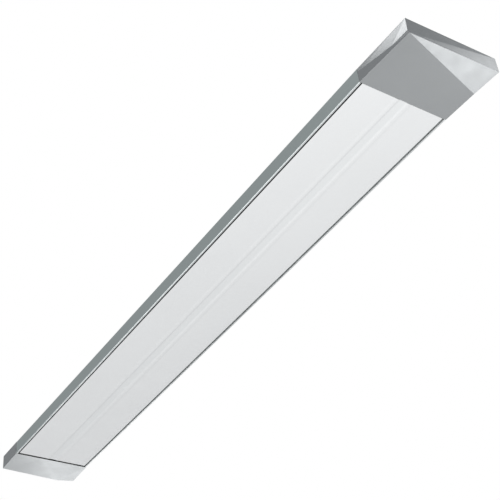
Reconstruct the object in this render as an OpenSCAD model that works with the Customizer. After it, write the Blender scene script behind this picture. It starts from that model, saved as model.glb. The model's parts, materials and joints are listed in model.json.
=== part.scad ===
// Slim long-wave infrared strip heater for ceiling mounting.
// A folded steel casing holds a radiating aluminium panel that faces down, and two faceted end caps
// close it. It hangs on two ceiling brackets whose sliders run in a track along the casing's back.
//
// The part's frame: origin in the ceiling plane midway between the two brackets, +Z up, +X along the
// heater towards the wiring end ("near"), Y across it.
// The parts of the heater are drawn in the casing's own frame and moved there by in_case():
// x = 0 at the near end of the casing (the far end is at -case_l), y = 0 at the left side and
// z = 0 at the front lips, with z growing towards the ceiling.

/* [Casing] */
// Length of the sheet casing between the two end caps
case_l = 1034; // [900:1:1400]
// Width of the casing
case_w = 140; // [130:1:160]
// Depth of the casing from its front lips to its back
case_h = 24; // [24:1:30]
// Thickness of the casing sheet
sheet = 1; // [0.8:0.1:1.2]
// Width of the front lip that holds the panel
lip_w = 2.6; // [2.4:0.1:3]
// Height of the lip's inner hem, on which the panel's flanges rest
hem_h = 4; // [3:0.5:5]

/* [Radiating panel] */
// Dark gap between the lip and the raised face of the panel
panel_gap = 2.4; // [1.5:0.1:3]
// Plate thickness of the panel
panel_t = 2; // [1.6:0.1:2.5]
// Distance of the panel's face behind the lips
panel_back = 0.4; // [0:0.1:1]
// Free space between the panel and the far cap, for thermal expansion
expansion_gap = 3.5; // [2:0.5:5]
// Distance between the two legs of the hairpin element
leg_pitch = 18; // [16:1:24]
// Radius of the tubular element
tube_r = 3.25; // [3:0.05:4]

/* [End caps] */
// Length of the near cap, over the wiring
near_cap_l = 95; // [80:1:120]
// Length of the far cap
far_cap_l = 61; // [50:1:80]
// How far the near cap's lowest corner stands below the lips
prow = 5; // [3:0.5:7]
// Wall thickness of the caps
cap_wall = 2.4; // [2:0.1:3]

/* [Hanging] */
// Distance between the two ceiling brackets
bracket_pitch = 700; // [400:10:760]
// Distance from the ceiling to the casing's back
drop = 44; // [44:1:70]
// Height of the tilting pivot above the casing's back
pivot_h = 20; // [20:1:24]
// Travel of each slider either way along the track
slider_travel = 40; // [10:1:50]
// Radius of the pivot bolt
bolt_r = 3; // [2.5:0.5:3]
// Height of the track on the casing's back
track_h = 10; // [10:1:12]

/* [Hidden] */
$fn = 48;

tiny = 0.01;
fit = 0.05;                              // radial clearance of a shaft that turns in its hole
mid_y = case_w / 2;
back_in = case_h - sheet;                // inner face of the casing's back
face_y = lip_w + panel_gap;              // left edge of the panel's raised face
face_z = panel_back + panel_t;           // rear face of the panel's plate
leg_z = face_z + tube_r;                 // height of the element's axis
leg_y = [mid_y - leg_pitch / 2, mid_y + leg_pitch / 2];
bend_x = -case_l + 60;                   // where the element's legs end and its bend begins
mat_x = -62;                             // near end of the insulation
mat_l = case_l + mat_x - 44;             // length of the insulation
plate_t = 1;                             // sheet of the end plates
hem_t = 0.9;                             // thickness of the lip's inner hem
rivet_r = 2;
screw_r = 1.55;                          // shank of the small screws
screw_hole_r = 2.1;                      // their clearance hole in the caps
inlet_r = 7;                             // hole of the cable grommet
cable_r = 4.5;                           // bore of the cable grommet
bush_hole_r = 4.5;                       // hole of the wire bush in the bulkhead
earth_r = 2;                             // earth stud
track_w = 34;
track_t = 1.5;
track_slot = 13;
track_l = bracket_pitch + 2 * slider_travel + 96;
lug_t = 2;                               // sheet of the brackets and of the sliders' ears
slider_half = 12.7;                      // outer face of a slider's ears from its middle
bracket_in = slider_half + 0.3;          // inner face of a ceiling bracket's ears
bracket_out = bracket_in + lug_t;
clamp_x = -30;                           // the clamp screw's place along its slider
grommet_x = 72;
block_x = 30;                            // near corner of the terminal block
block = [30, 42, 13];

// ---- helpers ------------------------------------------------------------------------------------

module in_case() { translate([case_l / 2, -case_w / 2, -(drop + case_h)]) children(); }

// A profile drawn as [across, up], extruded along the heater from x to x + length
module along_x(x, length) {
    translate([x, 0, 0]) rotate([90, 0, 90]) linear_extrude(length) children();
}

// A profile drawn as [along, up], extruded across the heater from y to y + length
module across_y(y, length) {
    translate([0, y + length, 0]) rotate([90, 0, 0]) linear_extrude(length) children();
}

module rod_x(x, y, z, length, r) { translate([x, y, z]) rotate([0, 90, 0]) cylinder(h = length, r = r); }

module box(low, high) { translate(low) cube(high - low); }

// Points of a smooth curve through the route's own points (Catmull-Rom, steps per stretch)
function curve_at(p, i, t) =
    let (n = len(p) - 1, a = p[max(i - 1, 0)], b = p[i], c = p[i + 1], d = p[min(i + 2, n)])
    0.5 * (2 * b + (c - a) * t + (2 * a - 5 * b + 4 * c - d) * t * t + (3 * b - a - 3 * c + d) * t * t * t);
function curve(p, steps) = concat(
    [for (i = [0 : len(p) - 2]) for (s = [0 : steps - 1]) curve_at(p, i, s / steps)],
    [p[len(p) - 1]]);
function unit(v) = v / norm(v);

// A round wire swept along a curve that never runs straight up
module wire(route, r, sides = 8, steps = 4) {
    c = curve(route, steps);
    n = len(c);
    ring = [for (i = [0 : n - 1])
        let (dir = unit(c[min(i + 1, n - 1)] - c[max(i - 1, 0)]),
             s = unit(cross(dir, [0.13, 0.21, 1])),
             u = cross(s, dir))
        for (k = [0 : sides - 1]) c[i] + r * (cos(360 * k / sides) * s + sin(360 * k / sides) * u)];
    sidefaces = [for (i = [0 : n - 2]) for (k = [0 : sides - 1])
        let (a = i * sides + k, b = i * sides + (k + 1) % sides) [a, a + sides, b + sides, b]];
    ends = [[for (k = [0 : sides - 1]) k], [for (k = [sides - 1 : -1 : 0]) (n - 1) * sides + k]];
    polyhedron(ring, concat(sidefaces, ends), convexity = 6);
}

// ---- casing and panel ---------------------------------------------------------------------------

// Folded channel: back, two sides, and front lips with a hem
module casing_profile() {
    c = 0.7;
    half = [[c, 0], [lip_w, 0], [lip_w, hem_h], [lip_w - hem_t, hem_h], [lip_w - hem_t, sheet],
            [sheet, sheet], [sheet, back_in]];
    outer = [[c, case_h], [0, case_h - c], [0, c]];
    right = [for (i = [len(half) - 1 : -1 : 0]) [case_w - half[i][0], half[i][1]]];
    right_outer = [[case_w, c], [case_w, case_h - c], [case_w - c, case_h]];
    polygon(concat(half, right, right_outer, outer));
}

module casing_shell() {
    color([0.72, 0.74, 0.74]) in_case() difference() {
        along_x(-case_l, case_l) casing_profile();
        for (x = rivet_xs()) for (y = rivet_ys())
            translate([x, y, back_in - 1]) cylinder(h = 3, r = rivet_r + fit);
        for (x = track_rivet_xs()) for (y = track_rivet_ys())
            translate([x, y, back_in - 1]) cylinder(h = 3, r = rivet_r + fit);
    }
}

// The panel's front face across the heater: rounded rims, and two flat beads that follow the
// element's legs with a shallow band between them
function panel_front() = let (
        r = 0.6,
        bead = 0.3,
        band = 0.35,
        l = leg_y[0],
        left = concat(
            [for (a = [0 : 15 : 90]) [face_y + r * (1 - cos(a)), panel_back + r * (1 - sin(a))]],
            [[l - 5, panel_back], [l - 2, panel_back - bead], [l + 1, panel_back - bead],
             [l + 4, panel_back + band]]))
    concat(left, [for (i = [len(left) - 1 : -1 : 0]) [case_w - left[i][0], left[i][1]]]);

module panel_profile() {
    rim = 1.6;
    flange_t = 1.4;
    inner = face_y + rim;
    difference() {
        union() {
            polygon(concat(
                [[lip_w - hem_t, hem_h], [face_y, hem_h]],
                panel_front(),
                [[case_w - face_y, hem_h], [case_w - lip_w + hem_t, hem_h],
                 [case_w - lip_w + hem_t, hem_h + flange_t], [case_w - inner, hem_h + flange_t],
                 [case_w - inner, face_z], [inner, face_z], [inner, hem_h + flange_t],
                 [lip_w - hem_t, hem_h + flange_t]]));
            for (y = leg_y) translate([y, leg_z]) circle(r = tube_r + 1.4);
        }
        for (y = leg_y) {
            translate([y, leg_z]) circle(r = tube_r + 0.1);
            translate([y - tube_r - 3, leg_z + 1.2]) square([2 * tube_r + 6, 6]);
        }
    }
}

module radiating_panel() {
    groove_edge = leg_pitch / 2 + tube_r + 2;
    color([0.93, 0.94, 0.94]) in_case() difference() {
        along_x(-case_l + expansion_gap, case_l - expansion_gap - 0.3) panel_profile();
        // the grooves stop where the element's bend begins
        box([-case_l, mid_y - groove_edge, face_z - 0.1], [bend_x, mid_y + groove_edge, leg_z + 10]);
    }
}

// Hairpin tube: two straight legs, joined at the far end by a half turn
module heating_element() {
    color([0.45, 0.42, 0.4]) in_case() {
        for (y = leg_y) rod_x(bend_x, y, leg_z, 6 - bend_x, tube_r);
        translate([bend_x, mid_y, leg_z]) rotate([0, 0, 90])
            rotate_extrude(angle = 180) translate([leg_pitch / 2, 0]) circle(r = tube_r);
    }
}

// Ceramic bush at the end of each leg, round the stud
module element_bushes() {
    color("ivory") in_case() for (y = leg_y) difference() {
        union() {
            rod_x(6, y, leg_z, 3, 4.2);
            rod_x(9, y, leg_z, 4, 3);
        }
        rod_x(5, y, leg_z, 9, 1.25);
    }
}

// Terminal studs of the element, with a flat tab
module element_studs() {
    color("silver") in_case() for (y = leg_y) {
        rod_x(6, y, leg_z, 9, 1.2);
        box([15 - tiny, y - tab_w / 2, leg_z - tab_t / 2], [23, y + tab_w / 2, leg_z + tab_t / 2]);
    }
}

// Saddles that hold the legs down in the panel's grooves
module element_clips() {
    clip_w = 16;
    count = 7;
    pitch = (case_l - 240) / (count - 1);
    top = leg_z + tube_r;
    edge = leg_pitch / 2 + tube_r + 1.5;
    color("silver") in_case() for (i = [0 : count - 1]) along_x(-120 - i * pitch - clip_w / 2, clip_w)
        polygon([[mid_y - edge, top], [mid_y + edge, top], [mid_y + edge, face_z + 0.01],
                 [mid_y + edge + 6, face_z + 0.01], [mid_y + edge + 6, face_z + 0.8],
                 [mid_y + edge + 0.8, face_z + 0.8], [mid_y + edge + 0.8, top + 0.8],
                 [mid_y - edge - 0.8, top + 0.8], [mid_y - edge - 0.8, face_z + 0.8],
                 [mid_y - edge - 6, face_z + 0.8], [mid_y - edge - 6, face_z + 0.01],
                 [mid_y - edge, face_z + 0.01]]);
}

// Bright sheet between the element and the insulation, with turned-down edges
module reflector_sheet() {
    z = leg_z + tube_r + 1.2;
    color("gainsboro") in_case() along_x(mat_x - mat_l, mat_l)
        polygon([[8, z - 3], [8.5, z - 3], [8.5, z], [case_w - 8.5, z], [case_w - 8.5, z - 3],
                 [case_w - 8, z - 3], [case_w - 8, z + 0.5], [8, z + 0.5]]);
}

module insulation_mat() {
    z = leg_z + tube_r + 1.7;
    color("wheat") in_case() box([mat_x - mat_l, 5, z], [mat_x, case_w - 5, back_in - 1.9]);
}

// Leaf springs that press the panel's flanges down on the hems and let it grow
module panel_springs() {
    count = 5;
    pitch = (case_l - 180) / (count - 1);
    z = hem_h + 1.4;
    color("dimgray") in_case() for (i = [0 : count - 1]) for (side = [0, 1])
        translate([0, side * case_w, 0]) mirror([0, side, 0]) translate([-90 - i * pitch, 0, 0])
            along_x(-10, 20) polygon([[sheet, z + 4.6], [sheet, z + 5.2], [2.2, z + 5.2], [4, z + 0.5],
                                      [4, z], [3.4, z], [1.8, z + 4.6]]);
}

// ---- end plates ---------------------------------------------------------------------------------

rivet_x = 12;                            // distance of the rivets from the casing's ends
function rivet_xs() = [-rivet_x, rivet_x - case_l];
function rivet_ys() = [22, case_w - 22];

// Hole through the tray and what lies on it
module back_hole(x, y, r) { translate([x, y, back_in - 3]) cylinder(h = 8, r = r); }

// Bulkhead with a flange under the casing's back and a tray into the cap, as [along, up]
module end_plate_profile(tray) {
    polygon([[-20, back_in - plate_t], [1, back_in - plate_t], [1, face_z + 0.3], [2, face_z + 0.3],
             [2, back_in - plate_t], [tray, back_in - plate_t], [tray, back_in], [-20, back_in]]);
}

module near_end_plate() {
    color([0.78, 0.79, 0.8]) in_case() difference() {
        across_y(5, case_w - 10) end_plate_profile(84);
        for (y = leg_y) rod_x(0, y, leg_z, 3, tube_r + 0.1);
        rod_x(0, wire_hole[1], wire_hole[2], 3, bush_hole_r);
        back_hole(grommet_x, mid_y, inlet_r);
        for (y = rivet_ys()) back_hole(-rivet_x, y, rivet_r + fit);
        for (y = cap_screw_ys()) back_hole(near_screw_x, y, screw_r + fit);
        for (p = block_screw_ps()) back_hole(p[0], p[1], screw_r + fit);
        back_hole(earth_p[0], earth_p[1], earth_r + fit);
    }
}

module far_end_plate() {
    color([0.78, 0.79, 0.8]) in_case() translate([-case_l, 0, 0]) mirror([1, 0, 0]) difference() {
        across_y(5, case_w - 10) end_plate_profile(48);
        for (y = rivet_ys()) back_hole(-rivet_x, y, rivet_r + fit);
        for (y = cap_screw_ys()) back_hole(far_screw_x, y, screw_r + fit);
    }
}

module end_plate_rivets() {
    color("silver") in_case() for (x = rivet_xs()) for (y = rivet_ys()) {
        translate([x, y, back_in - plate_t - 1.2]) cylinder(h = 1.2, r = 3);
        translate([x, y, back_in - plate_t - tiny])
            cylinder(h = plate_t + sheet + 2 * tiny, r = rivet_r);
        translate([x, y, case_h]) cylinder(h = 1, r = 3.6);
    }
}

// ---- end caps -----------------------------------------------------------------------------------

near_screw_x = 40;
far_screw_x = 30;
cap_gap = 0.4;                           // joint between the casing and the far cap
cap_floor = 1.2;                         // height of the caps' hollows above the lips
function cap_screw_ys() = [24, case_w - 24];

// Outer skin of the near cap. Its lowest corner is a prow at the left of the end face, and every
// facet runs up to it: a main facet from the panel, a lighter triangle to the right of a diagonal
// crease, a split end face, a split left side and a narrow bevel along the left edge.
module near_cap_skin() {
    l = near_cap_l;
    slope = prow / (l - 0.5);
    fold_x = 0.69 * l;                                       // where the side fold meets the bevel
    crease_x = 0.57 * l;                                     // where the crease meets the right edge
    p = [
        [0, 0, 0], [0, case_w, 0], [0, case_w, case_h], [0, 0.6, case_h],  // 0-3 mouth
        [l - 0.5, 0.8, -slope * (l - 0.5)],                                // 4 prow
        [l - 0.8, -1.3, -prow + 3.6],                                      // 5 top of the bevel
        [l - 2.6, 2, case_h],                                              // 6 end, left, back
        [l + 0.8, case_w + 4.4, case_h],                                   // 7 end, right, back
        [l + 1.2, case_w + 3.6, -1],                                       // 8 end, right, front
        [crease_x, case_w - 0.6, -slope * crease_x],                       // 9 crease end
        [fold_x, -1.1, 0.5],                                               // 10 side fold
        [0, 0, case_h - 6]                                                 // 11 fold at the mouth
    ];
    polyhedron(p, [
        [0, 1, 2, 3, 11],                     // mouth
        [0, 4, 9, 1],                         // main facet
        [4, 8, 9],                            // triangle beyond the crease
        [4, 6, 7], [4, 7, 8], [4, 5, 6],      // end face
        [0, 11, 10],                          // side facet by the casing
        [3, 6, 11], [11, 6, 10], [6, 5, 10],  // side facet by the end
        [0, 10, 4], [10, 5, 4],               // bevel
        [3, 2, 7, 6],                         // back
        [1, 9, 2], [9, 7, 2], [9, 8, 7]       // right side
    ], convexity = 4);
}

module near_cap() {
    color([0.66, 0.68, 0.68]) in_case() difference() {
        translate([cap_gap / 2, 0, 0]) near_cap_skin();
        box([-1, cap_wall, cap_floor], [near_cap_l - 5, case_w - cap_wall, back_in]);
        back_hole(grommet_x, mid_y, inlet_r);
        for (y = cap_screw_ys()) back_hole(near_screw_x, y, screw_hole_r);
    }
}

// Outer skin of the far cap: one soft diagonal crease runs from the panel to a low point on the
// end edge, with a flatter facet to its left and a steeper one to its right
module far_cap_skin() {
    l = far_cap_l;
    right_x = l - 3.4;                                       // the end's right edge stands back
    right_y = case_w + 1.2;
    p = [
        [0, 0, 0], [0, case_w, 0], [0, case_w, case_h], [0, 0, case_h],    // 0-3 mouth
        [6, 0.34 * case_w, -0.3],                                          // 4 crease start
        [l, 0.5, -1],                                                      // 5 end, left, front
        [l + 1.6, 0.785 * case_w, -3.1],                                   // 6 low point
        [right_x, right_y, -0.85],                                         // 7 end, right, front
        [right_x, right_y, case_h],                                        // 8 end, right, back
        [l, 0.5, case_h]                                                   // 9 end, left, back
    ];
    polyhedron(p, [
        [0, 1, 2, 3],                         // mouth
        [0, 4, 1],                            // narrow facet along the panel
        [0, 5, 4], [4, 5, 6],                 // facet left of the crease
        [4, 6, 1], [1, 6, 7],                 // facet right of it
        [5, 9, 8], [5, 8, 6], [6, 8, 7],      // end face
        [0, 3, 9, 5],                         // left side
        [3, 2, 8, 9],                         // back
        [1, 7, 8], [1, 8, 2]                  // right side
    ], convexity = 4);
}

// The far cap, with a notch in each side of its mouth for levering it off
module far_cap() {
    notch = [1.6, 5];                                        // along the heater, and in depth
    notch_z = 6;
    color([0.66, 0.68, 0.68]) in_case() translate([-case_l - cap_gap, 0, 0]) difference() {
        mirror([1, 0, 0]) far_cap_skin();
        box([-far_cap_l + 5, cap_wall, cap_floor], [1, case_w - cap_wall, back_in]);
        box([-notch[0], -1, notch_z], [1, case_w + 1, notch_z + notch[1]]);
        for (y = cap_screw_ys()) back_hole(cap_gap - far_screw_x, y, screw_hole_r);
    }
}

// Pan-head screw from above: head on the surface at z = 0, shank downwards
module pan_screw(head_r, head_h, shank_r, shank_l) {
    difference() {
        cylinder(h = head_h, r = head_r);
        for (a = [0, 90]) rotate([0, 0, a]) translate([-head_r * 0.55, -0.35, head_h - 0.9])
            cube([head_r * 1.1, 0.7, 1]);
    }
    translate([0, 0, -shank_l]) cylinder(h = shank_l + tiny, r = shank_r);
}

module near_cap_screws() {
    color("silver") in_case() for (y = cap_screw_ys())
        translate([near_screw_x, y, case_h]) pan_screw(3.4, 2.2, screw_r, 6);
}

module far_cap_screws() {
    color("silver") in_case() for (y = cap_screw_ys())
        translate([-case_l - far_screw_x, y, case_h]) pan_screw(3.4, 2.2, screw_r, 6);
}

// ---- wiring in the near cap ---------------------------------------------------------------------

wire_hole = [1, 96, 14];                 // where the cut-out's wires pass the bulkhead
earth_p = [20, 112];                     // earth stud on the tray
cutout_p = [-34, 104];                   // thermal cut-out on the panel's rear face
cutout_tab_ys = [cutout_p[1] - 4.6, cutout_p[1] + 4.6];
tab_w = 6.3;                             // flat push-on tabs
tab_t = 0.8;
wire_r = 1.3;
pole_ys = [for (i = [-1 : 1]) mid_y + i * 13];
block_z = back_in - plate_t - block[2];  // lower face of the terminal block
wire_z = block_z + 6;                    // height of the block's wire holes

function block_screw_ps() = [[block_x + block[0] / 2, mid_y - 6.5], [block_x + block[0] / 2, mid_y + 6.5]];

// Three-pole terminal block under the tray
module terminal_block() {
    color("ivory") in_case() difference() {
        box([block_x, mid_y - block[1] / 2, block_z],
            [block_x + block[0], mid_y + block[1] / 2, block_z + block[2]]);
        for (y = pole_ys) {
            rod_x(block_x - 1, y, wire_z, block[0] + 2, 2.2);
            for (x = [7, block[0] - 7])
                translate([block_x + x, y, block_z - 1]) cylinder(h = 7, r = 2);
        }
        for (p = block_screw_ps()) translate([p[0], p[1], block_z - 1]) cylinder(h = block[2] + 2, r = 1.7);
    }
}

// Two clamping screws on each pole, with their heads at the block's lower face
module terminal_screws() {
    color("khaki") in_case() for (y = pole_ys) for (x = [7, block[0] - 7])
        translate([block_x + x, y, block_z - 0.5]) difference() {
            cylinder(h = 4, r = 1.9);
            translate([-1.5, -0.3, -tiny]) cube([3, 0.6, 0.8]);
        }
}

module block_screws() {
    color("silver") in_case() for (p = block_screw_ps()) translate([p[0], p[1], block_z]) {
        translate([0, 0, -2]) cylinder(h = 2, r = 2.9);
        translate([0, 0, -tiny]) cylinder(h = block[2] + 1, r = 1.5);
    }
}

// Snap-disc thermal cut-out with two flat tabs that point to the near end
module thermal_cutout() {
    top = face_z + 8.5;
    color("black") in_case() translate([cutout_p[0], cutout_p[1], face_z + 0.02]) {
        cylinder(h = 3, r = 8);
        translate([0, 0, 3 - tiny]) cylinder(h = top - face_z - 3, r = 7);
    }
    color("silver") in_case() for (y = cutout_tab_ys)
        box([cutout_p[0] - 2, y - tab_w / 2, top], [cutout_p[0] + 14, y + tab_w / 2, top + tab_t]);
}

// Flange that clamps the cut-out to the panel, with two rivets
module cutout_strap() {
    x = cutout_p[0];
    y = cutout_p[1];
    z = face_z + 3.05;
    color("silver") in_case() difference() {
        box([x - 16, y - 9.5, z], [x + 16, y + 9.5, z + 0.8]);
        translate([x, y, face_z]) cylinder(h = 8, r = 7.05);
    }
    color("silver") in_case() for (s = [-1, 1]) translate([x + s * 12.5, y, 0]) {
        translate([0, 0, face_z + 0.02]) cylinder(h = 3.04, r = 2.4);
        translate([0, 0, z + 0.8 - tiny]) cylinder(h = 1.6, r = 2.8);
    }
}

module live_wire() {
    color("saddlebrown") in_case() wire([
        [block_x + 2, pole_ys[1], wire_z], [24, 71, wire_z], [13, 81, 15], [8, 92, 15.2],
        [4, 97, 15.2], [-2, 97, 15.2], [-8, 103, 14.5], [-13, 108, 12],
        [cutout_p[0] + 15.4, cutout_tab_ys[1], face_z + 8.9]], wire_r);
}

module cutout_wire() {
    color("saddlebrown") in_case() wire([
        [cutout_p[0] + 15.4, cutout_tab_ys[0], face_z + 8.9], [-10, 97, 11.8], [-2, 95, 12.4],
        [4, 95, 12.4], [12, 93.5, 10], [22, 91, 6.4], [34, 88, 5.7], [36, 81.5, 5.7],
        [31, leg_y[1], leg_z], [24.8, leg_y[1], leg_z]], wire_r);
}

module neutral_wire() {
    color("royalblue") in_case() wire([
        [block_x + 2, pole_ys[0], wire_z], [26, 54, 14.5], [20, 47, 11.5], [24, 40, 8],
        [34, 40, 6], [41, 48, 5.7], [40, 57, 5.7], [33, leg_y[0], leg_z], [24.8, leg_y[0], leg_z]], wire_r);
}

module earth_wire() {
    color("limegreen") in_case() wire([
        [block_x + 2, pole_ys[2], wire_z], [26, 84.5, 15.2], [25, 92, 16], [30, 100, 17.5],
        [37, 106, 18.6], [36, 111.5, 19], [29.2, earth_p[1], 19]], wire_r);
}

// Push-on sleeve round a flat tab: closed at its near side, where the wire enters
module push_on_sleeve(x, y, z) {
    difference() {
        box([x, y - tab_w / 2 - 0.9, z - 1.5], [x + 8, y + tab_w / 2 + 0.9, z + 1.5]);
        box([x - 1, y - tab_w / 2 - fit, z - tab_t / 2 - fit],
            [x + 7, y + tab_w / 2 + fit, z + tab_t / 2 + fit]);
    }
}

// Sleeves on the element's and the cut-out's tabs, and the earth wire's ring with its barrel
module wire_connectors() {
    ring_z = back_in - plate_t - 3.6;
    barrel_r = 1.6;
    color("red") in_case() {
        for (y = leg_y) push_on_sleeve(16.6, y, leg_z);
        for (y = cutout_tab_ys) push_on_sleeve(cutout_p[0] + 7.1, y, face_z + 8.5 + tab_t / 2);
        difference() {
            union() {
                translate([earth_p[0], earth_p[1], ring_z]) cylinder(h = 0.8, r = 4);
                box([earth_p[0] + 3, earth_p[1] - barrel_r, ring_z],
                    [earth_p[0] + 9, earth_p[1] + barrel_r, ring_z + 0.8]);
                box([earth_p[0] + 4.5, earth_p[1] - barrel_r, ring_z - 0.8],
                    [earth_p[0] + 9, earth_p[1] + barrel_r, ring_z + barrel_r]);
            }
            translate([earth_p[0], earth_p[1], ring_z - 1]) cylinder(h = 3, r = earth_r + 0.1);
        }
    }
}

// Earth stud through the tray, with its two nuts
module earth_stud() {
    z = back_in - plate_t;
    color("gold") in_case() translate([earth_p[0], earth_p[1], 0]) {
        translate([0, 0, z - 9]) cylinder(h = 10, r = earth_r);
        translate([0, 0, z - 2.8]) cylinder(h = 2.8, r = 4, $fn = 6);
        translate([0, 0, z - 6.6]) cylinder(h = 2.9, r = 4, $fn = 6);
    }
}

// Bush that lines the bulkhead's wire hole
module wire_bush() {
    color([0.15, 0.15, 0.15]) in_case() difference() {
        union() {
            rod_x(-0.4, wire_hole[1], wire_hole[2], 1.4, 6);
            rod_x(0.9, wire_hole[1], wire_hole[2], 1.2, bush_hole_r - fit);
            rod_x(2, wire_hole[1], wire_hole[2], 1.4, 6);
        }
        rod_x(-1, wire_hole[1], wire_hole[2], 6, 3.8);
    }
}

// Grommet of the supply inlet, through the cap's back and the tray
module cable_grommet() {
    z = back_in - plate_t;
    color([0.15, 0.15, 0.15]) in_case() translate([grommet_x, mid_y, 0]) difference() {
        union() {
            translate([0, 0, z - 1.8]) cylinder(h = 1.8, r = 9);
            translate([0, 0, z - tiny]) cylinder(h = plate_t + sheet + 2 * tiny, r = inlet_r - fit);
            translate([0, 0, case_h]) cylinder(h = 1.8, r = 9);
            translate([0, 0, case_h + 1.8 - tiny]) cylinder(h = 2.2, r = 6.5);
        }
        translate([0, 0, z - 3]) cylinder(h = 12, r = cable_r);
    }
}

// ---- hanging track on the back ------------------------------------------------------------------

track_x = -case_l / 2;                   // middle of the track
function track_rivet_xs() = [for (i = [0 : 3]) track_x - track_l / 2 + 14 + i * (track_l - 28) / 3];
function track_rivet_ys() = [mid_y - 11, mid_y + 11];

module mounting_track() {
    w = track_w / 2;
    s = track_slot / 2;
    t = track_t;
    color([0.8, 0.81, 0.82]) in_case() translate([0, mid_y, case_h]) difference() {
        along_x(track_x - track_l / 2, track_l)
            polygon([[-w, 0], [w, 0], [w, track_h], [s, track_h], [s, track_h - t], [w - t, track_h - t],
                     [w - t, t], [-w + t, t], [-w + t, track_h - t], [-s, track_h - t],
                     [-s, track_h], [-w, track_h]]);
        for (x = track_rivet_xs()) for (y = track_rivet_ys())
            translate([x, y - mid_y, -1]) cylinder(h = 4, r = rivet_r + fit);
    }
}

module track_rivets() {
    color("silver") in_case() for (x = track_rivet_xs()) for (y = track_rivet_ys())
        translate([x, y, case_h]) {
            translate([0, 0, track_t]) cylinder(h = 1.1, r = 3.4);
            translate([0, 0, -sheet - tiny]) cylinder(h = sheet + track_t + 2 * tiny, r = rivet_r);
            translate([0, 0, -sheet - 1]) cylinder(h = 1, r = 2.8);
        }
}

// Plastic plugs in the track's two ends
module track_end_stops() {
    color([0.2, 0.2, 0.2]) in_case() for (s = [-1, 1])
        translate([track_x + s * track_l / 2, mid_y, case_h]) {
            box([min(0, s * 2), -track_w / 2, 0], [max(0, s * 2), track_w / 2, track_h]);
            box([min(0, -s * 7), -track_w / 2 + track_t + 0.1, track_t + 0.1],
                [max(0, -s * 7), track_w / 2 - track_t - 0.1, track_h - track_t - 0.1]);
        }
}

module rating_plate() {
    color("silver") in_case() box([-case_l + 70, 8, case_h], [-case_l + 140, 44, case_h + 0.4]);
}

// ---- brackets -----------------------------------------------------------------------------------

near_x = bracket_pitch / 2;
far_x = -bracket_pitch / 2;
pivot_z = -drop + pivot_h;
track_top = -drop + track_h;

// Ceiling bracket: a plate with two slotted holes and two ears that carry the pivot bolt
module ceiling_bracket() {
    half_x = 22;
    half_y = 36;
    hole_y = 24;
    slot_r = 3;
    slot_l = 14;
    ear_r = 8;
    difference() {
        box([-half_x, -half_y, -lug_t], [half_x, half_y, 0]);
        for (y = [-hole_y, hole_y]) {
            for (x = [-1, 1]) translate([x * (slot_l / 2 - slot_r), y, -lug_t - 1])
                cylinder(h = lug_t + 2, r = slot_r);
            box([-slot_l / 2 + slot_r, y - slot_r, -lug_t - 1], [slot_l / 2 - slot_r, y + slot_r, 1]);
        }
    }
    for (s = [0, 1]) mirror([s, 0, 0]) along_x(bracket_in, lug_t) difference() {
        union() {
            polygon([[-14, -lug_t + tiny], [14, -lug_t + tiny], [ear_r, pivot_z], [-ear_r, pivot_z]]);
            translate([0, pivot_z]) circle(r = ear_r);
        }
        translate([0, pivot_z]) circle(r = bolt_r + fit);
    }
}

// Slider: a plate under the track's lips, with two ears that rise through its slot to the pivot
module track_slider() {
    base_top = track_top - track_t - 0.15;
    base_t = 3;
    ear_half = 5.5;
    difference() {
        box([clamp_x - 9, -13, base_top - base_t], [slider_half + 6, 13, base_top]);
        translate([clamp_x, 0, base_top - base_t - 1]) cylinder(h = base_t + 2, r = 2.5 + fit);
    }
    for (s = [0, 1]) mirror([s, 0, 0]) along_x(slider_half - lug_t, lug_t) difference() {
        union() {
            translate([-ear_half, base_top - tiny]) square([2 * ear_half, pivot_z - base_top]);
            translate([0, pivot_z]) circle(r = ear_half + 0.5);
        }
        translate([0, pivot_z]) circle(r = bolt_r + fit);
    }
}

module pivot_bolt() {
    rod_x(-bracket_out - 4, 0, pivot_z, 4, 5);
    rod_x(-bracket_out - tiny, 0, pivot_z, 2 * bracket_out + 10, bolt_r);
}

module pivot_sleeve() {
    half = slider_half - lug_t - 0.2;
    difference() {
        rod_x(-half, 0, pivot_z, 2 * half, 4.5);
        rod_x(-half - 1, 0, pivot_z, 2 * half + 2, bolt_r + fit);
    }
}

// Knurled nut that locks the tilt
module lock_nut() {
    difference() {
        translate([bracket_out + 1.3, 0, pivot_z]) rotate([0, 90, 0]) difference() {
            cylinder(h = 6, r = 7.5);
            for (a = [0 : 20 : 340]) rotate([0, 0, a]) translate([7.6, 0, -1])
                cylinder(h = 8, r = 0.7, $fn = 13);
        }
        rod_x(bracket_out, 0, pivot_z, 12, bolt_r + fit);
    }
}

module washers() {
    difference() {
        rod_x(bracket_out + 0.05, 0, pivot_z, 1.2, 6.2);
        rod_x(bracket_out - 1, 0, pivot_z, 4, bolt_r + fit);
    }
}

// Clamp screw: a knurled head above the track, and a shank down to the track's floor
module clamp_screw() {
    head_z = track_top + 0.6;
    floor_z = -drop + track_t + 0.1;
    translate([clamp_x, 0, head_z]) difference() {
        cylinder(h = 6, r = 5.6);
        for (a = [0 : 24 : 336]) rotate([0, 0, a]) translate([5.7, 0, -1])
            cylinder(h = 8, r = 0.6, $fn = 13);
        translate([-4, -0.6, 4.8]) cube([8, 1.2, 2]);
    }
    translate([clamp_x, 0, floor_z]) cylinder(h = head_z - floor_z + tiny, r = 2.5);
}

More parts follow.
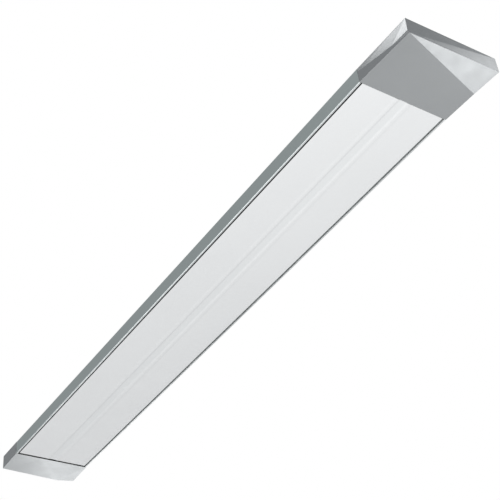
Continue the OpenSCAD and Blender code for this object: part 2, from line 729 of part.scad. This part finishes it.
module near_bracket() { color([0.75, 0.76, 0.77]) translate([near_x, 0, 0]) ceiling_bracket(); }
module near_slider() { color([0.7, 0.71, 0.72]) translate([near_x, 0, 0]) track_slider(); }
module near_pivot_bolt() { color("dimgray") translate([near_x, 0, 0]) pivot_bolt(); }
module near_pivot_sleeve() { color("silver") translate([near_x, 0, 0]) pivot_sleeve(); }
module near_lock_nut() { color("gold") translate([near_x, 0, 0]) lock_nut(); }
module near_washers() { color("silver") translate([near_x, 0, 0]) washers(); }
module near_clamp_screw() { color("gold") translate([near_x, 0, 0]) clamp_screw(); }
module far_bracket() { color([0.75, 0.76, 0.77]) translate([far_x, 0, 0]) ceiling_bracket(); }
module far_slider() { color([0.7, 0.71, 0.72]) translate([far_x, 0, 0]) track_slider(); }
module far_pivot_bolt() { color("dimgray") translate([far_x, 0, 0]) pivot_bolt(); }
module far_pivot_sleeve() { color("silver") translate([far_x, 0, 0]) pivot_sleeve(); }
module far_lock_nut() { color("gold") translate([far_x, 0, 0]) lock_nut(); }
module far_washers() { color("silver") translate([far_x, 0, 0]) washers(); }
module far_clamp_screw() { color("gold") translate([far_x, 0, 0]) clamp_screw(); }

casing_shell();
radiating_panel();
heating_element();
element_bushes();
element_studs();
element_clips();
reflector_sheet();
insulation_mat();
panel_springs();
near_end_plate();
far_end_plate();
near_cap();
far_cap();
near_cap_screws();
far_cap_screws();
terminal_block();
terminal_screws();
block_screws();
thermal_cutout();
cutout_strap();
live_wire();
cutout_wire();
neutral_wire();
earth_wire();
wire_connectors();
earth_stud();
wire_bush();
cable_grommet();
end_plate_rivets();
mounting_track();
track_rivets();
track_end_stops();
rating_plate();
near_bracket();
near_slider();
near_pivot_bolt();
near_pivot_sleeve();
near_lock_nut();
near_washers();
near_clamp_screw();
far_bracket();
far_slider();
far_pivot_bolt();
far_pivot_sleeve();
far_lock_nut();
far_washers();
far_clamp_screw();
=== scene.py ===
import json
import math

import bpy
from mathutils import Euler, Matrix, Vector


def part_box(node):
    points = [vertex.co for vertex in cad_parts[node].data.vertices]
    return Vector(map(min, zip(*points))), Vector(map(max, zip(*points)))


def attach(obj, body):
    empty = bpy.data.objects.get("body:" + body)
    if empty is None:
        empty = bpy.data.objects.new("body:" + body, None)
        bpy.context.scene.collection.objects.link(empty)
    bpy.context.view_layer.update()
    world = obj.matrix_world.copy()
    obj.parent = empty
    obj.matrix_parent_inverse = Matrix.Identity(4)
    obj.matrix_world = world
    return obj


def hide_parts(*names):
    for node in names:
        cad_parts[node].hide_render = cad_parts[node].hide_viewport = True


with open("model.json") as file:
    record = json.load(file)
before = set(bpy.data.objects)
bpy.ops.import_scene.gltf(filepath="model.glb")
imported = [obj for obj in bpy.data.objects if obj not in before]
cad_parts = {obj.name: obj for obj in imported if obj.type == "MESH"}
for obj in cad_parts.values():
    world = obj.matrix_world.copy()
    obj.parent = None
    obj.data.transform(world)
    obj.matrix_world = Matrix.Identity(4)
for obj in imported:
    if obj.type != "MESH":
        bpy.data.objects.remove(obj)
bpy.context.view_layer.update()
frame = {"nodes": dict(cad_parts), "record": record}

# Looks of a slim infrared strip heater that hangs below a ceiling.
# Lengths are in metres, in the CAD's frame: the ceiling plane is z = 0, +x runs along the heater to
# its wiring end and the radiating panel faces down.

MM = 0.001

# ---- camera, floor and light ----------------------------------------------------------------------

CAMERA_PLACE = (1.1831, -0.7620, -1.0432)
CAMERA_TURN = (128.01, 5.07, 57.19)      # degrees about x, y and z
LENS = 79.37                             # focal length and sensor width, in millimetres
SENSOR = 36.0
CLIP_START = 0.01
FLOOR_Z = -2.4                           # a room's floor below the ceiling
FLOOR_SIZE = 60.0
FLOOR_GREY = 0.86
FLOOR_ROUGHNESS = 0.7


def add_camera():
    data = bpy.data.cameras.new("camera")
    data.lens = LENS
    data.sensor_width = SENSOR
    data.clip_start = CLIP_START
    camera = bpy.data.objects.new("camera", data)
    camera.location = CAMERA_PLACE
    camera.rotation_euler = Euler([math.radians(a) for a in CAMERA_TURN])
    bpy.context.collection.objects.link(camera)
    bpy.context.scene.camera = camera


def add_floor():
    half = FLOOR_SIZE / 2
    corners = [(x * half, y * half, FLOOR_Z) for x, y in ((-1, -1), (1, -1), (1, 1), (-1, 1))]
    mesh = bpy.data.meshes.new("floor")
    mesh.from_pydata(corners, [], [(0, 1, 2, 3)])
    floor = bpy.data.objects.new("floor", mesh)
    bpy.context.collection.objects.link(floor)
    material = bpy.data.materials.new("floor")
    material.use_nodes = True
    shader = material.node_tree.nodes["Principled BSDF"]
    shader.inputs["Base Color"].default_value = (FLOOR_GREY, FLOOR_GREY, FLOOR_GREY, 1)
    shader.inputs["Roughness"].default_value = FLOOR_ROUGHNESS
    mesh.materials.append(material)


def add_softbox(name, place, aim, size, power):
    """A rectangular soft light at place that faces aim. Power is in watts."""
    data = bpy.data.lights.new(name, "AREA")
    data.shape = "RECTANGLE"
    data.size, data.size_y = size
    data.energy = power
    light = bpy.data.objects.new(name, data)
    light.location = place
    light.rotation_euler = (Vector(aim) - Vector(place)).to_track_quat("-Z", "Y").to_euler()
    light.visible_camera = False
    bpy.context.collection.objects.link(light)


def direction(azimuth, elevation):
    """The unit vector at this azimuth from +x and this elevation above the floor, in degrees."""
    a = math.radians(azimuth)
    e = math.radians(elevation)
    return Vector((math.cos(e) * math.cos(a), math.cos(e) * math.sin(a), math.sin(e)))


def softbox_seen_from(name, target, azimuth, elevation, distance, size, radiance):
    """A softbox of the given radiance whose middle is seen from target in that direction."""
    target = Vector(target)
    place = target + direction(azimuth, elevation) * distance
    power = radiance * math.pi * size[0] * size[1]
    add_softbox(name, place, target, size, power)


NEAR_END = (0.60, 0.0, -0.06)            # places along the heater that the softboxes are aimed at
FAR_END = (-0.55, 0.0, -0.06)
MIDDLE = (0.0, 0.0, -0.06)
BACKDROP_LIGHT = 1.0                     # what the camera sees behind the heater
ROOM_LIGHT = 0.37                        # what lights the heater from every side
ROOM_TINT = (0.94, 0.97, 1.0, 1)
# Each softbox: what it is aimed at, its azimuth, elevation and distance from there, its size, its radiance
SOFTBOXES = {
    "triangle_box": (NEAR_END, 114, -48, 2.5, (0.7, 0.7), 1.7),
    "end_box": (NEAR_END, 52, 36.5, 1.5, (0.9, 0.5), 0.97),
    "side_box": (NEAR_END, -157, 66, 1.5, (0.55, 0.55), 2.2),
    "edge_box": (MIDDLE, -122, -24, 2.5, (2.2, 1.0), 2.2),
    "front_fill": (NEAR_END, -50, -55, 1.6, (1.4, 1.4), 3.3),
    "main_box": (NEAR_END, 139, -38, 2.5, (0.9, 0.9), 0.37),
    "far_box": (FAR_END, 164, -30, 2.5, (0.8, 0.8), 0.6),
    "far_crease_box": (FAR_END, 149, -27, 2.5, (0.6, 0.8), 1.35),
    "ceiling_box": (MIDDLE, 0, 90, 2.4, (1.5, 1.5), 1.4),
}


def add_world():
    world = bpy.data.worlds.new("studio")
    bpy.context.scene.world = world
    world.use_nodes = True
    nodes = world.node_tree.nodes
    links = world.node_tree.links
    output = nodes["World Output"]
    backdrop = nodes["Background"]
    backdrop.inputs["Color"].default_value = (1, 1, 1, 1)
    backdrop.inputs["Strength"].default_value = BACKDROP_LIGHT
    room = nodes.new("ShaderNodeBackground")
    room.inputs["Color"].default_value = ROOM_TINT
    room.inputs["Strength"].default_value = ROOM_LIGHT
    seen = nodes.new("ShaderNodeLightPath")
    mix = nodes.new("ShaderNodeMixShader")
    links.new(seen.outputs["Is Camera Ray"], mix.inputs[0])
    links.new(room.outputs[0], mix.inputs[1])
    links.new(backdrop.outputs[0], mix.inputs[2])
    links.new(mix.outputs[0], output.inputs["Surface"])


def add_lights():
    for name, facts in SOFTBOXES.items():
        softbox_seen_from(name, *facts)


# ---- materials ------------------------------------------------------------------------------------

MIX_FIRST = 6                            # a mix node's sockets for its two colours and their blend
MIX_SECOND = 7
MIX_RESULT = 2


class Surface:
    """A material under construction: a principled shader with its noise, colour and bump nodes."""

    def __init__(self, name, metallic=0.0):
        self.material = bpy.data.materials.new(name)
        self.material.use_nodes = True
        self.tree = self.material.node_tree
        self.shader = self.tree.nodes["Principled BSDF"]
        self.shader.inputs["Metallic"].default_value = metallic
        self.place = self.node("ShaderNodeTexCoord").outputs["Object"]
        self.paint = None
        self.relief = None

    def node(self, kind):
        return self.tree.nodes.new(kind)

    def link(self, a, b):
        self.tree.links.new(a, b)

    def mapped(self, stretch):
        """Object coordinates in metres, times a factor along each axis."""
        mapping = self.node("ShaderNodeMapping")
        self.link(self.place, mapping.inputs["Vector"])
        mapping.inputs["Scale"].default_value = stretch
        return mapping.outputs[0]

    def noise(self, scale, detail=2.0, stretch=(1, 1, 1)):
        """Smooth noise with about scale bumps a metre, from 0 to 1."""
        noise = self.node("ShaderNodeTexNoise")
        noise.inputs["Scale"].default_value = scale
        noise.inputs["Detail"].default_value = detail
        self.link(self.mapped(stretch), noise.inputs["Vector"])
        return noise.outputs["Fac"]

    def cells(self, scale):
        """A random grey for each cell, with about scale cells a metre."""
        cells = self.node("ShaderNodeTexVoronoi")
        cells.inputs["Scale"].default_value = scale
        self.link(self.mapped((1, 1, 1)), cells.inputs["Vector"])
        grey = self.node("ShaderNodeRGBToBW")
        self.link(cells.outputs["Color"], grey.inputs[0])
        return grey.outputs[0]

    def spread(self, value, low, high, start=0.3, end=0.7):
        """Maps a value's range start..end to low..high."""
        spread = self.node("ShaderNodeMapRange")
        spread.inputs["From Min"].default_value = start
        spread.inputs["From Max"].default_value = end
        spread.inputs["To Min"].default_value = low
        spread.inputs["To Max"].default_value = high
        self.link(value, spread.inputs["Value"])
        return spread.outputs["Result"]

    def math(self, operation, first, second=None):
        """A math node on one or two values, each a number or a socket."""
        node = self.node("ShaderNodeMath")
        node.operation = operation
        for socket, value in zip(node.inputs, (first, second)):
            if isinstance(value, (int, float)):
                socket.default_value = value
            elif value is not None:
                self.link(value, socket)
        return node.outputs[0]

    def coordinates(self):
        """The X, Y and Z of each point, in metres."""
        split = self.node("ShaderNodeSeparateXYZ")
        self.link(self.place, split.inputs[0])
        return split.outputs

    def blend(self, factor, first, second):
        """A colour between two, each a tuple or a socket."""
        mix = self.node("ShaderNodeMix")
        mix.data_type = "RGBA"
        self.link(factor, mix.inputs["Factor"])
        for index, colour in ((MIX_FIRST, first), (MIX_SECOND, second)):
            if isinstance(colour, tuple):
                mix.inputs[index].default_value = (*colour, 1)
            else:
                self.link(colour, mix.inputs[index])
        return mix.outputs[MIX_RESULT]

    def colour(self, socket):
        """Sets the colour, which a later coat may blend with as self.paint."""
        self.paint = socket
        self.link(socket, self.shader.inputs["Base Color"])

    def rough(self, socket):
        self.link(socket, self.shader.inputs["Roughness"])

    def bump(self, height, depth):
        """Adds relief: a height from 0 to 1 stands for that depth in metres."""
        bump = self.node("ShaderNodeBump")
        bump.inputs["Strength"].default_value = 1.0
        bump.inputs["Distance"].default_value = depth
        self.link(height, bump.inputs["Height"])
        if self.relief is not None:
            self.link(self.relief, bump.inputs["Normal"])
        self.relief = bump.outputs["Normal"]
        self.link(self.relief, self.shader.inputs["Normal"])


def shade(colour, factor):
    """A colour made darker or lighter."""
    return tuple(min(1.0, c * factor) for c in colour)


def metallic_paint(name, colour, roughness, metallic, peel):
    """Silver paint: fine flakes, a faint cloudiness and orange peel of the given depth."""
    s = Surface(name, metallic)
    cloud = s.blend(s.spread(s.noise(9), 0, 1), shade(colour, 0.975), shade(colour, 1.02))
    flakes = s.spread(s.noise(3200, detail=1), 0, 1, 0.35, 0.75)
    s.colour(s.blend(flakes, cloud, shade(colour, 1.07)))
    s.rough(s.spread(s.noise(45), roughness - 0.02, roughness + 0.03))
    s.bump(s.noise(420, detail=1), peel)
    return s


CASING_LOW, CASING_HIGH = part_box("casing_shell")
# Painted highlight: the rolled front lips are coloured bright and fade into the paint between these
# heights and, at the casing's sides, between these distances from its middle
LIP_Z = (CASING_LOW.z + 1.8 * MM, CASING_LOW.z + 2.8 * MM)
LIP_Y = (CASING_HIGH.y - 0.6 * MM, CASING_HIGH.y - 0.1 * MM)
# Painted highlight: the bright colour that stands in for the light caught by the rolled lips
LIP_HIGHLIGHT = (0.78, 0.8, 0.8)


def silver_paint():
    """Paint of the casing, with a painted highlight in a bright colour on the rolled front lips."""
    s = metallic_paint("silver_paint", (0.53, 0.585, 0.575), 0.34, 0.8, 0.004 * MM)
    place = s.coordinates()
    inside = s.spread(s.math("ABSOLUTE", place["Y"]), 1, 0, *LIP_Y)
    # painted highlight on the rolled front lips
    lip_highlight = s.math("MULTIPLY", inside, s.spread(place["Z"], 1, 0, *LIP_Z))
    s.colour(s.blend(lip_highlight, s.paint, LIP_HIGHLIGHT))
    return s.material


def cap_paint():
    """Paint of the end caps: greyer and smoother than the casing's."""
    return metallic_paint("cap_paint", (0.445, 0.457, 0.462), 0.22, 0.9, 0.0006 * MM).material


PANEL_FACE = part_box("radiating_panel")[0].z
# Painted shade: the enamel turns black between these heights, on the panel's rounded rims, down in the
# gaps
PANEL_WALL_Z = (PANEL_FACE + 0.4 * MM, PANEL_FACE + 0.6 * MM)
PANEL_WALL_Y = 65 * MM                   # how far the panel's side walls are from its middle
WALL_SKIN = 0.6 * MM                     # what is this close to a side wall is part of it
WALL_FADE = 0.1 * MM
BAND_HALF = 5.5 * MM                     # half width of the sunk band along the panel's middle
BAND_FADE = 2 * MM
# Painted shade: the sunk band's enamel is blended this far toward a darker grey
BAND_SHADE_STRENGTH = 0.3
BAND_SHADE_GREY = (0.80, 0.82, 0.82)
# Painted shade: the black that stands in for the shadow down in the gaps beside the panel
WALL_SHADE = (0.012, 0.012, 0.012)


def white_enamel():
    """Panel enamel, with painted shade: black on its side walls in the gaps, greyer in its sunk band."""
    s = Surface("white_enamel")
    cloud = s.blend(s.spread(s.noise(6), 0, 1), (0.845, 0.85, 0.85), (0.865, 0.87, 0.87))
    place = s.coordinates()
    off_middle = s.math("ABSOLUTE", place["Y"])
    # painted shade in the sunk middle band
    band_shade = s.spread(off_middle, 1, 0, BAND_HALF - BAND_FADE, BAND_HALF + BAND_FADE)
    face = s.blend(s.math("MULTIPLY", band_shade, BAND_SHADE_STRENGTH), cloud, BAND_SHADE_GREY)
    off_wall = s.math("ABSOLUTE", s.math("SUBTRACT", off_middle, PANEL_WALL_Y))
    near_wall = s.spread(off_wall, 1, 0, WALL_SKIN, WALL_SKIN + WALL_FADE)
    # painted shade on the panel's side walls in the gaps
    wall_shade = s.math("MULTIPLY", near_wall, s.spread(place["Z"], 0, 1, *PANEL_WALL_Z))
    s.colour(s.blend(wall_shade, face, WALL_SHADE))
    s.rough(s.spread(s.noise(35), 0.34, 0.42))
    s.bump(s.noise(380, detail=1), 0.004 * MM)
    s.bump(s.noise(2200, detail=1), 0.0006 * MM)
    return s.material


def steel_sheet():
    """Zinc-coated sheet: a faint spangle of flat grains over fine rolling lines."""
    s = Surface("steel_sheet", 1.0)
    grains = s.cells(170)
    lines = s.noise(260, detail=3, stretch=(0.08, 4, 4))
    base = s.blend(grains, (0.55, 0.56, 0.58), (0.66, 0.67, 0.68))
    s.colour(s.blend(s.spread(lines, 0, 0.35), base, (0.72, 0.73, 0.74)))
    s.rough(s.spread(grains, 0.3, 0.44, 0, 1))
    s.bump(lines, 0.004 * MM)
    return s.material


def aluminium_sheet():
    """Bright rolled sheet, with its grain along the heater."""
    s = Surface("aluminium_sheet", 1.0)
    lines = s.noise(420, detail=4, stretch=(0.03, 4, 4))
    s.colour(s.blend(s.spread(lines, 0, 1), (0.72, 0.73, 0.74), (0.83, 0.84, 0.85)))
    s.rough(s.spread(lines, 0.24, 0.38))
    s.bump(lines, 0.003 * MM)
    return s.material


def element_steel():
    """Stainless tube tinted straw, bronze and blue by heat, with draw marks along it."""
    s = Surface("element_steel", 1.0)
    tint = s.noise(14, detail=3)
    warm = s.blend(s.spread(tint, 0, 1, 0.35, 0.6), (0.42, 0.36, 0.29), (0.3, 0.26, 0.25))
    s.colour(s.blend(s.spread(tint, 0, 0.7, 0.58, 0.72), warm, (0.2, 0.23, 0.3)))
    s.rough(s.spread(s.noise(90), 0.34, 0.48))
    s.bump(s.noise(600, detail=2, stretch=(0.05, 3, 3)), 0.006 * MM)
    return s.material


def zinc():
    """Bright zinc plating with a thin blue and yellow passivation tint."""
    s = Surface("zinc", 1.0)
    tint = s.blend(s.spread(s.noise(240), 0, 1), (0.6, 0.63, 0.68), (0.7, 0.69, 0.62))
    s.colour(s.blend(s.spread(s.noise(1500), 0, 0.5), tint, (0.76, 0.77, 0.79)))
    s.rough(s.spread(s.noise(700), 0.24, 0.38))
    s.bump(s.noise(1800), 0.004 * MM)
    return s.material


def brass():
    """Turned brass, a little dull between the bright places that fingers touch."""
    s = Surface("brass", 1.0)
    dull = s.spread(s.noise(320, detail=3), 0, 1, 0.4, 0.7)
    s.colour(s.blend(dull, (0.76, 0.58, 0.27), (0.52, 0.38, 0.18)))
    s.rough(s.spread(s.noise(320, detail=3), 0.22, 0.42))
    s.bump(s.noise(2400, detail=1), 0.003 * MM)
    return s.material


def ceramic():
    """Glazed steatite: warm white with small dark specks and a shallow ripple."""
    s = Surface("ceramic")
    body = s.blend(s.spread(s.noise(180), 0, 1), (0.8, 0.77, 0.7), (0.86, 0.84, 0.78))
    specks = s.spread(s.noise(2100, detail=1), 0, 0.8, 0.72, 0.78)
    s.colour(s.blend(specks, body, (0.35, 0.29, 0.22)))
    s.rough(s.spread(s.noise(300), 0.2, 0.34))
    s.bump(s.noise(500), 0.01 * MM)
    return s.material


def mineral_wool():
    """Felted fibres that lie in two crossing directions."""
    s = Surface("mineral_wool")
    along = s.noise(500, detail=4, stretch=(0.12, 2, 2))
    across = s.noise(500, detail=4, stretch=(2, 0.12, 2))
    clump = s.blend(s.spread(s.noise(40, detail=3), 0, 1), (0.62, 0.55, 0.38), (0.78, 0.72, 0.56))
    s.colour(s.blend(s.spread(along, 0, 0.6), clump, (0.86, 0.82, 0.7)))
    s.rough(s.spread(across, 0.85, 1.0))
    s.bump(along, 0.25 * MM)
    s.bump(across, 0.25 * MM)
    return s.material


def moulding(name, colour, roughness, grain, depth):
    """Moulded plastic or rubber: a fine grain of the given pitch, with dust in its hollows."""
    s = Surface(name)
    fine = s.noise(1 / grain, detail=2)
    mottle = s.blend(s.spread(s.noise(70, detail=3), 0, 1), shade(colour, 0.8), shade(colour, 1.25))
    dust = tuple(0.85 * c + 0.02 for c in colour)
    s.colour(s.blend(s.spread(fine, 0, 0.5), mottle, dust))
    s.rough(s.spread(fine, roughness - 0.08, roughness + 0.08))
    s.bump(fine, depth)
    return s.material


def sleeve(name, colour, tracer):
    """Wire insulation: a braided glass sleeve, with tracer threads of a second colour."""
    s = Surface(name)
    one_way = s.noise(1400, detail=2, stretch=(0.5, 1.6, 1))
    other_way = s.noise(1400, detail=2, stretch=(1.6, 0.5, 1))
    weave = s.math("MULTIPLY", one_way, other_way)
    base = s.blend(s.spread(weave, 0, 1, 0.15, 0.35), shade(colour, 0.7), shade(colour, 1.2))
    s.colour(s.blend(s.spread(s.noise(420), 0, 0.8, 0.56, 0.62), base, tracer))
    s.rough(s.spread(weave, 0.5, 0.7, 0.15, 0.35))
    s.bump(weave, 0.06 * MM)
    return s.material


def make_materials():
    """Every material by the name of its slot."""
    return {
        "silver_paint": silver_paint(),
        "cap_paint": cap_paint(),
        "white_enamel": white_enamel(),
        "steel_sheet": steel_sheet(),
        "aluminium_sheet": aluminium_sheet(),
        "element_steel": element_steel(),
        "zinc": zinc(),
        "brass": brass(),
        "ceramic": ceramic(),
        "mineral_wool": mineral_wool(),
        "black_plastic": moulding("black_plastic", (0.028, 0.028, 0.03), 0.5, 0.5 * MM, 0.02 * MM),
        "rubber": moulding("rubber", (0.02, 0.02, 0.02), 0.66, 0.8 * MM, 0.015 * MM),
        "live_sleeve": sleeve("live_sleeve", (0.24, 0.1, 0.045), (0.34, 0.17, 0.09)),
        "neutral_sleeve": sleeve("neutral_sleeve", (0.045, 0.15, 0.48), (0.1, 0.24, 0.6)),
        "earth_sleeve": sleeve("earth_sleeve", (0.12, 0.42, 0.06), (0.8, 0.7, 0.06)),
    }


def paint_nodes(materials):
    slots = {part["node"]: part["material_slot"] for part in frame["record"]["subparts"]}
    for name, node in frame["nodes"].items():
        for slot in node.material_slots:
            slot.material = materials[slots[name]]


# ---- edges ----------------------------------------------------------------------------------------

# How far each kind of node's edges are rounded, in millimetres, and the sharpest fold that is left
# alone, in degrees
SHELL_EDGES = {
    "casing_shell": (0.35, 20),
    "near_cap": (0.5, 4),
    "far_cap": (0.5, 1.5),
    "radiating_panel": (0.1, 30),
}
FITTING_EDGES = (0.22, 35)
# Words in the names of the other nodes that get rounded edges
FITTINGS = ("bracket", "slider", "bolt", "nut", "washers", "clamp_screw", "screws", "track", "grommet",
            "bush", "block", "plate", "cutout", "stud", "clips", "connectors")
WIRES = ("live_wire", "cutout_wire", "neutral_wire", "earth_wire")
WELD_DISTANCE = 0.001 * MM
FLAT_ANGLE = 0.2                         # degrees between triangles that count as one flat face
BEVEL_SEGMENTS = 3
SMOOTH_LEVELS = 2


def weld(node):
    """Joins the vertices that the CAD mesh splits along its edges."""
    modifier = node.modifiers.new("weld", "WELD")
    modifier.merge_threshold = WELD_DISTANCE


def merge_flats(node):
    """Makes each flat face whole, so that the slivers of the CAD mesh don't catch the light."""
    modifier = node.modifiers.new("flats", "DECIMATE")
    modifier.decimate_type = "DISSOLVE"
    modifier.angle_limit = math.radians(FLAT_ANGLE)


def round_edges(node, width, angle):
    """Rounds the edges of folds past this angle."""
    weld(node)
    merge_flats(node)
    bevel = node.modifiers.new("bevel", "BEVEL")
    bevel.width = width * MM
    bevel.segments = BEVEL_SEGMENTS
    bevel.limit_method = "ANGLE"
    bevel.angle_limit = math.radians(angle)
    bevel.harden_normals = True


def smooth_wire(node):
    weld(node)
    smooth = node.modifiers.new("smooth", "SUBSURF")
    smooth.levels = SMOOTH_LEVELS
    smooth.render_levels = SMOOTH_LEVELS


def finish_edges():
    for name, node in frame["nodes"].items():
        if name in SHELL_EDGES:
            round_edges(node, *SHELL_EDGES[name])
        elif name in WIRES:
            smooth_wire(node)
        elif any(word in name for word in FITTINGS):
            round_edges(node, *FITTING_EDGES)


# ---- detail pieces --------------------------------------------------------------------------------

# The sizes of these pieces are in millimetres, their places in metres
TURNED_SIDES = 48
SHARP_ANGLE = 38                         # degrees past which a fold isn't shaded smooth


def new_piece(name, points, faces, material, body):
    """A mesh that takes the given material and rides on a CAD body."""
    mesh = bpy.data.meshes.new(name)
    mesh.from_pydata(points, [], faces)
    mesh.materials.append(material)
    mesh.shade_smooth()
    mesh.set_sharp_from_angle(angle=math.radians(SHARP_ANGLE))
    piece = bpy.data.objects.new(name, mesh)
    bpy.context.collection.objects.link(piece)
    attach(piece, body)
    return piece


def turned(rings, place, axis):
    """Points and faces of a turned body. A ring is a distance along the axis and a radius by angle."""
    along, side, up = axis
    points = []
    for distance, radius in rings:
        for i in range(TURNED_SIDES):
            angle = 2 * math.pi * i / TURNED_SIDES
            r = radius(angle)
            offset = side * (r * math.cos(angle)) + up * (r * math.sin(angle))
            points.append(place + (along * distance + offset) * MM)
    faces = [tuple(reversed(range(TURNED_SIDES)))]
    for ring in range(len(rings) - 1):
        first = ring * TURNED_SIDES
        for i in range(TURNED_SIDES):
            j = (i + 1) % TURNED_SIDES
            faces.append((first + i, first + j, first + TURNED_SIDES + j, first + TURNED_SIDES + i))
    last = (len(rings) - 1) * TURNED_SIDES
    faces.append(tuple(last + i for i in range(TURNED_SIDES)))
    return points, faces


def round_ring(distance, radius):
    return distance, lambda angle: radius


def hexagon_ring(distance, half_width):
    """A six-sided ring, this far from its middle to the middle of each side."""
    def radius(angle):
        return half_width / math.cos(angle % (math.pi / 3) - math.pi / 6)
    return distance, radius


THREAD_DEPTH = 0.54                      # of a metric thread, as a share of its pitch
THREAD_RINGS = 8                         # rings of points in each turn
THREAD_START = 0.2                       # share of the depth that the thread starts with


def thread_rings(start, end, outer, pitch):
    """A screw thread's helix: its crests stand at the outer radius, and it runs out at both ends."""
    depth = THREAD_DEPTH * pitch
    steps = round((end - start) / pitch * THREAD_RINGS)
    rings = []
    for step in range(steps + 1):
        distance = start + (end - start) * step / steps
        run_out = min(1.0, (end - distance) / pitch, (distance - start) / pitch + THREAD_START)

        def radius(angle, distance=distance, run_out=run_out):
            turn = (distance / pitch - angle / (2 * math.pi)) % 1.0
            return outer - depth + depth * run_out * (1 - abs(2 * turn - 1))
        rings.append((distance, radius))
    return rings


X_AXIS = (Vector((1, 0, 0)), Vector((0, 1, 0)), Vector((0, 0, 1)))
UP_AXIS = (Vector((0, 0, 1)), Vector((1, 0, 0)), Vector((0, 1, 0)))
CAD_HEAD_RADIUS = 5.0                    # of the plain bolt that this one replaces
# The hinge bolt, measured along it from the outer face of its head
BOLT_LENGTH = 43.98
HEAD_LENGTH = 4.0
HEAD_RADIUS = 4.95
SOCKET_DEPTH = 2.4
SOCKET_HALF = 2.45                       # half the width of the hexagon for its key
SHANK_RADIUS = 3.0
SHANK_END = 32.4
GROOVE_RADIUS = 2.6                      # of the groove between the shank and the thread
THREAD_PLACE = (33.0, BOLT_LENGTH - 0.5)
THREAD_RADIUS = 2.98
THREAD_PITCH = 1.0


def bolt_place(end):
    """The middle of the outer face of a hinge bolt's head."""
    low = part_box(end + "_pivot_bolt")[0]
    return Vector((low.x, 0, low.z + CAD_HEAD_RADIUS * MM))


def add_hinge_bolt(end, material):
    """Socket-head hinge bolt: a round head, a plain shank in the sleeve and a thread for the knob."""
    rings = [
        hexagon_ring(SOCKET_DEPTH, SOCKET_HALF),
        hexagon_ring(0.15, SOCKET_HALF),
        hexagon_ring(0, SOCKET_HALF + 0.15),
        round_ring(0, HEAD_RADIUS - 0.55),
        round_ring(0.12, HEAD_RADIUS - 0.25),
        round_ring(0.5, HEAD_RADIUS),
        round_ring(HEAD_LENGTH - 0.2, HEAD_RADIUS),
        round_ring(HEAD_LENGTH - 0.02, HEAD_RADIUS - 0.15),
        round_ring(HEAD_LENGTH, SHANK_RADIUS),
        round_ring(SHANK_END, SHANK_RADIUS),
        round_ring(SHANK_END + 0.4, GROOVE_RADIUS),
    ]
    rings += thread_rings(*THREAD_PLACE, THREAD_RADIUS, THREAD_PITCH)
    rings += [round_ring(BOLT_LENGTH - 0.1, 2.2), round_ring(BOLT_LENGTH, 2.0)]
    points, faces = turned(rings, bolt_place(end), X_AXIS)
    bolt = new_piece(end + "_hinge_bolt", points, faces, material, end + "_bracket")
    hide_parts(end + "_pivot_bolt")


PLATE_LOW, PLATE_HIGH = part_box("rating_plate")
PLATE_MIDDLE = Vector(((PLATE_LOW.x + PLATE_HIGH.x) / 2, (PLATE_LOW.y + PLATE_HIGH.y) / 2, PLATE_HIGH.z))
PLATE_HALF = (PLATE_HIGH - PLATE_LOW) / 2 / MM
ARC_MIDDLE = 5.8                         # from both of the plate's edges, for the border's corners
ARC_STEPS = 6
# Across the border: how far in from the plate's edge and how high over its face
BORDER_PROFILE = ((3.2, -0.1), (3.3, 0.12), (3.5, 0.16), (3.7, 0.12), (3.8, -0.1))
RIVET_INSET = 1.9                        # from both of the plate's edges
# A rivet from its foot to the bottom of its dimple: height over the plate and radius
RIVET_PROFILE = (
    (-0.2, 1.15), (0.12, 1.15), (0.34, 0.98), (0.5, 0.66), (0.56, 0.36), (0.4, 0.3), (0.38, 0.2))


def rounded_outline(inset, height):
    """Points around the rating plate, this far in from its edge, with rounded corners."""
    radius = ARC_MIDDLE - inset
    points = []
    for corner, (sx, sy) in enumerate(((1, 1), (-1, 1), (-1, -1), (1, -1))):
        for step in range(ARC_STEPS + 1):
            angle = math.radians(90 * (corner + step / ARC_STEPS))
            x = sx * (PLATE_HALF.x - ARC_MIDDLE) + radius * math.cos(angle)
            y = sy * (PLATE_HALF.y - ARC_MIDDLE) + radius * math.sin(angle)
            points.append(PLATE_MIDDLE + Vector((x, y, height)) * MM)
    return points


def add_plate_border(material):
    """Embossed line around the blank rating plate."""
    points = []
    for inset, height in BORDER_PROFILE:
        points += rounded_outline(inset, height)
    loops = len(BORDER_PROFILE)
    count = len(points) // loops
    faces = []
    for loop in range(loops):
        first = loop * count
        second = (loop + 1) % loops * count
        for i in range(count):
            j = (i + 1) % count
            faces.append((first + i, first + j, second + j, second + i))
    new_piece("rating_plate_border", points, faces, material, "heater")


def add_plate_rivets(material):
    """Four small domed rivets in the rating plate's corners."""
    rings = [round_ring(height, radius) for height, radius in RIVET_PROFILE]
    points = []
    faces = []
    for sx in (-1, 1):
        for sy in (-1, 1):
            corner = Vector((sx * (PLATE_HALF.x - RIVET_INSET), sy * (PLATE_HALF.y - RIVET_INSET), 0))
            more_points, more_faces = turned(rings, PLATE_MIDDLE + corner * MM, UP_AXIS)
            start = len(points)
            points += more_points
            faces += [tuple(start + i for i in face) for face in more_faces]
    new_piece("rating_plate_rivets", points, faces, material, "heater")


add_camera()
add_floor()
add_world()
add_lights()
materials = make_materials()
paint_nodes(materials)
finish_edges()
for end in ("near", "far"):
    add_hinge_bolt(end, materials["zinc"])
add_plate_border(materials["aluminium_sheet"])
add_plate_rivets(materials["aluminium_sheet"])

bpy.context.scene.view_settings.view_transform = "Standard"
